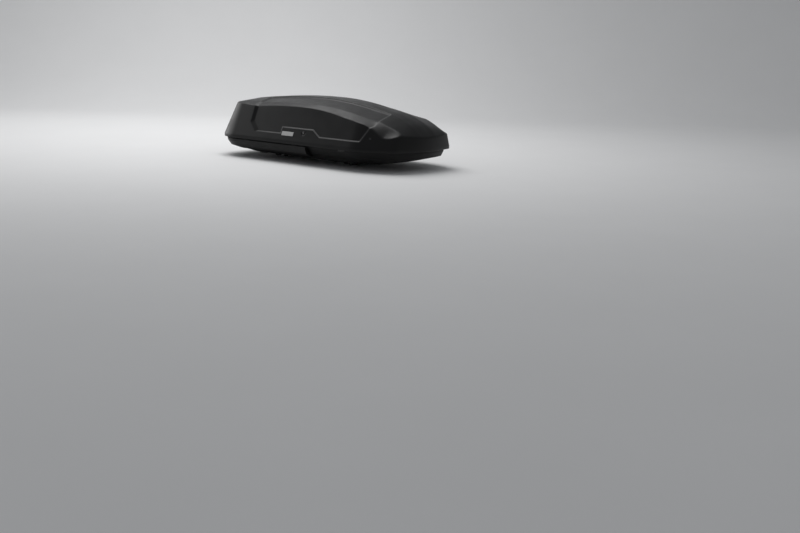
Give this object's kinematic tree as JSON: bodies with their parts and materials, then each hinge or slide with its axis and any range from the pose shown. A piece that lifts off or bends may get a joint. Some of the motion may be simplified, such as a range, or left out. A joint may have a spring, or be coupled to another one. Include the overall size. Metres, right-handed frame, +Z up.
{
  "type": "roof cargo box",
  "caption": "Hard-shell roof cargo box: wedge-nosed lid that opens from either side over a shallow tray, with quick clamps that grip roof crossbars.",
  "frame": {"origin": "under the middle of the box, at the height of the tips of the closed clamp jaws", "axes": "+X to the nose, +Y to the left side, +Z up"},
  "size_m": [1.7498, 0.825, 0.4556],
  "materials": {
    "lid_plastic": "fine-grained black ABS skin, low sheen",
    "base_plastic": "coarser grained black ABS",
    "hoop_metal": "pressed aluminium hoop",
    "rubber": "black rubber",
    "rail_aluminium": "extruded, satin",
    "badge_plate": "blank light plate",
    "black_nylon": "glass-filled nylon",
    "jaw_steel": "black e-coated steel",
    "lock_chrome": "black nickel lock core",
    "zinc_steel": "zinc-plated steel"
  },
  "bodies": {
    "base": {"base_shell": "base_plastic", "rim_seal": "rubber", "strap_anchors": "black_nylon", "left_floor_rail": "rail_aluminium", "right_floor_rail": "rail_aluminium", "left_hinge_brackets": "jaw_steel", "right_hinge_brackets": "jaw_steel", "left_hinge_pins": "jaw_steel", "right_hinge_pins": "jaw_steel", "base_rivets": "jaw_steel"},
    "left_hinge": {"left_hinge_jaws": "jaw_steel", "left_lifter_arms": "zinc_steel", "left_torsion_springs": "zinc_steel"},
    "right_hinge": {"right_hinge_jaws": "jaw_steel", "right_lifter_arms": "zinc_steel", "right_torsion_springs": "zinc_steel"},
    "lid": {"lid_shell": "lid_plastic", "lid_front_stiffener": "hoop_metal", "lid_middle_stiffener": "hoop_metal", "lid_rear_stiffener": "hoop_metal", "left_strikers": "zinc_steel", "right_strikers": "zinc_steel", "left_lock_housing": "black_nylon", "right_lock_housing": "black_nylon", "left_badge": "badge_plate", "right_badge": "badge_plate", "side_screw_caps": "black_nylon"},
    "left_lock_cylinder": {"left_lock_cylinder": "lock_chrome"},
    "left_lock_bar": {"left_lock_bar": "zinc_steel"},
    "right_lock_cylinder": {"right_lock_cylinder": "lock_chrome"},
    "right_lock_bar": {"right_lock_bar": "zinc_steel"},
    "rear_left_clamp": {"rear_left_clamp_housing": "black_nylon", "rear_left_jaw_pins": "zinc_steel", "rear_left_saddle_pad": "rubber"},
    "rear_left_knob": {"rear_left_clamp_knob": "black_nylon"},
    "rear_left_front_jaw": {"rear_left_front_jaw": "jaw_steel"},
    "rear_left_rear_jaw": {"rear_left_rear_jaw": "jaw_steel"},
    "rear_right_clamp": {"rear_right_clamp_housing": "black_nylon", "rear_right_jaw_pins": "zinc_steel", "rear_right_saddle_pad": "rubber"},
    "rear_right_knob": {"rear_right_clamp_knob": "black_nylon"},
    "rear_right_front_jaw": {"rear_right_front_jaw": "jaw_steel"},
    "rear_right_rear_jaw": {"rear_right_rear_jaw": "jaw_steel"},
    "front_left_clamp": {"front_left_clamp_housing": "black_nylon", "front_left_jaw_pins": "zinc_steel", "front_left_saddle_pad": "rubber"},
    "front_left_knob": {"front_left_clamp_knob": "black_nylon"},
    "front_left_front_jaw": {"front_left_front_jaw": "jaw_steel"},
    "front_left_rear_jaw": {"front_left_rear_jaw": "jaw_steel"},
    "front_right_clamp": {"front_right_clamp_housing": "black_nylon", "front_right_jaw_pins": "zinc_steel", "front_right_saddle_pad": "rubber"},
    "front_right_knob": {"front_right_clamp_knob": "black_nylon"},
    "front_right_front_jaw": {"front_right_front_jaw": "jaw_steel"},
    "front_right_rear_jaw": {"front_right_rear_jaw": "jaw_steel"}
  },
  "joints": [
    {"name": "lid_opens_right", "type": "hinge", "parent": "base", "child": "left_hinge", "pos_m": [0, 0.395, 0.146], "axis": [-1, 0, 0], "range_deg": [0, 55]},
    {"name": "lid_opens_left", "type": "hinge", "parent": "left_hinge", "child": "lid", "pos_m": [0, -0.395, 0.146], "axis": [1, 0, 0], "range_deg": [0, 55]},
    {"name": "right_jaws_turn", "type": "hinge", "parent": "base", "child": "right_hinge", "pos_m": [0, -0.395, 0.146], "axis": [1, 0, 0], "range_deg": [0, 55]},
    {"name": "left_key_turn", "type": "hinge", "parent": "lid", "child": "left_lock_cylinder", "pos_m": [0.07, 0.36, 0.226], "axis": [0, 1, 0], "range_deg": [0, 90]},
    {"name": "left_lock_bar_slide", "type": "slide", "parent": "lid", "child": "left_lock_bar", "axis": [1, 0, 0], "range_m": [0, 0.016]},
    {"name": "right_key_turn", "type": "hinge", "parent": "lid", "child": "right_lock_cylinder", "pos_m": [0.07, -0.36, 0.226], "axis": [0, 1, 0], "range_deg": [0, 90]},
    {"name": "right_lock_bar_slide", "type": "slide", "parent": "lid", "child": "right_lock_bar", "axis": [1, 0, 0], "range_m": [0, 0.016]},
    {"name": "rear_left_clamp_slide", "type": "slide", "parent": "base", "child": "rear_left_clamp", "axis": [1, 0, 0], "range_m": [-0.06, 0.06]},
    {"name": "rear_left_knob_turn", "type": "hinge", "parent": "rear_left_clamp", "child": "rear_left_knob", "pos_m": [-0.468, 0.075, 0.1], "axis": [0, 0, 1], "range_deg": [0, 720]},
    {"name": "rear_left_front_jaw_swing", "type": "hinge", "parent": "rear_left_clamp", "child": "rear_left_front_jaw", "pos_m": [-0.4215, 0.075, 0.062], "axis": [0, -1, 0], "range_deg": [0, 25]},
    {"name": "rear_left_rear_jaw_swing", "type": "hinge", "parent": "rear_left_clamp", "child": "rear_left_rear_jaw", "pos_m": [-0.5145, 0.075, 0.062], "axis": [0, 1, 0], "range_deg": [0, 25]},
    {"name": "rear_right_clamp_slide", "type": "slide", "parent": "base", "child": "rear_right_clamp", "axis": [1, 0, 0], "range_m": [-0.06, 0.06]},
    {"name": "rear_right_knob_turn", "type": "hinge", "parent": "rear_right_clamp", "child": "rear_right_knob", "pos_m": [-0.468, -0.075, 0.1], "axis": [0, 0, 1], "range_deg": [0, 720]},
    {"name": "rear_right_front_jaw_swing", "type": "hinge", "parent": "rear_right_clamp", "child": "rear_right_front_jaw", "pos_m": [-0.4215, -0.075, 0.062], "axis": [0, -1, 0], "range_deg": [0, 25]},
    {"name": "rear_right_rear_jaw_swing", "type": "hinge", "parent": "rear_right_clamp", "child": "rear_right_rear_jaw", "pos_m": [-0.5145, -0.075, 0.062], "axis": [0, 1, 0], "range_deg": [0, 25]},
    {"name": "front_left_clamp_slide", "type": "slide", "parent": "base", "child": "front_left_clamp", "axis": [1, 0, 0], "range_m": [-0.06, 0.06]},
    {"name": "front_left_knob_turn", "type": "hinge", "parent": "front_left_clamp", "child": "front_left_knob", "pos_m": [0.232, 0.075, 0.1], "axis": [0, 0, 1], "range_deg": [0, 720]},
    {"name": "front_left_front_jaw_swing", "type": "hinge", "parent": "front_left_clamp", "child": "front_left_front_jaw", "pos_m": [0.2785, 0.075, 0.062], "axis": [0, -1, 0], "range_deg": [0, 25]},
    {"name": "front_left_rear_jaw_swing", "type": "hinge", "parent": "front_left_clamp", "child": "front_left_rear_jaw", "pos_m": [0.1855, 0.075, 0.062], "axis": [0, 1, 0], "range_deg": [0, 25]},
    {"name": "front_right_clamp_slide", "type": "slide", "parent": "base", "child": "front_right_clamp", "axis": [1, 0, 0], "range_m": [-0.06, 0.06]},
    {"name": "front_right_knob_turn", "type": "hinge", "parent": "front_right_clamp", "child": "front_right_knob", "pos_m": [0.232, -0.075, 0.1], "axis": [0, 0, 1], "range_deg": [0, 720]},
    {"name": "front_right_front_jaw_swing", "type": "hinge", "parent": "front_right_clamp", "child": "front_right_front_jaw", "pos_m": [0.2785, -0.075, 0.062], "axis": [0, -1, 0], "range_deg": [0, 25]},
    {"name": "front_right_rear_jaw_swing", "type": "hinge", "parent": "front_right_clamp", "child": "front_right_rear_jaw", "pos_m": [0.1855, -0.075, 0.062], "axis": [0, 1, 0], "range_deg": [0, 25]}
  ],
  "couplings": [
    {"joint": "right_jaws_turn", "follows": "lid_opens_left", "ratio": 1},
    {"joint": "left_key_turn", "follows": "left_lock_bar_slide", "rad_per_m": 98.17},
    {"joint": "right_key_turn", "follows": "right_lock_bar_slide", "rad_per_m": 98.17},
    {"joint": "rear_left_front_jaw_swing", "follows": "rear_left_knob_turn", "ratio": 0.034721},
    {"joint": "rear_left_rear_jaw_swing", "follows": "rear_left_knob_turn", "ratio": 0.034721},
    {"joint": "rear_right_front_jaw_swing", "follows": "rear_right_knob_turn", "ratio": 0.034721},
    {"joint": "rear_right_rear_jaw_swing", "follows": "rear_right_knob_turn", "ratio": 0.034721},
    {"joint": "front_left_front_jaw_swing", "follows": "front_left_knob_turn", "ratio": 0.034721},
    {"joint": "front_left_rear_jaw_swing", "follows": "front_left_knob_turn", "ratio": 0.034721},
    {"joint": "front_right_front_jaw_swing", "follows": "front_right_knob_turn", "ratio": 0.034721},
    {"joint": "front_right_rear_jaw_swing", "follows": "front_right_knob_turn", "ratio": 0.034721}
  ]
}
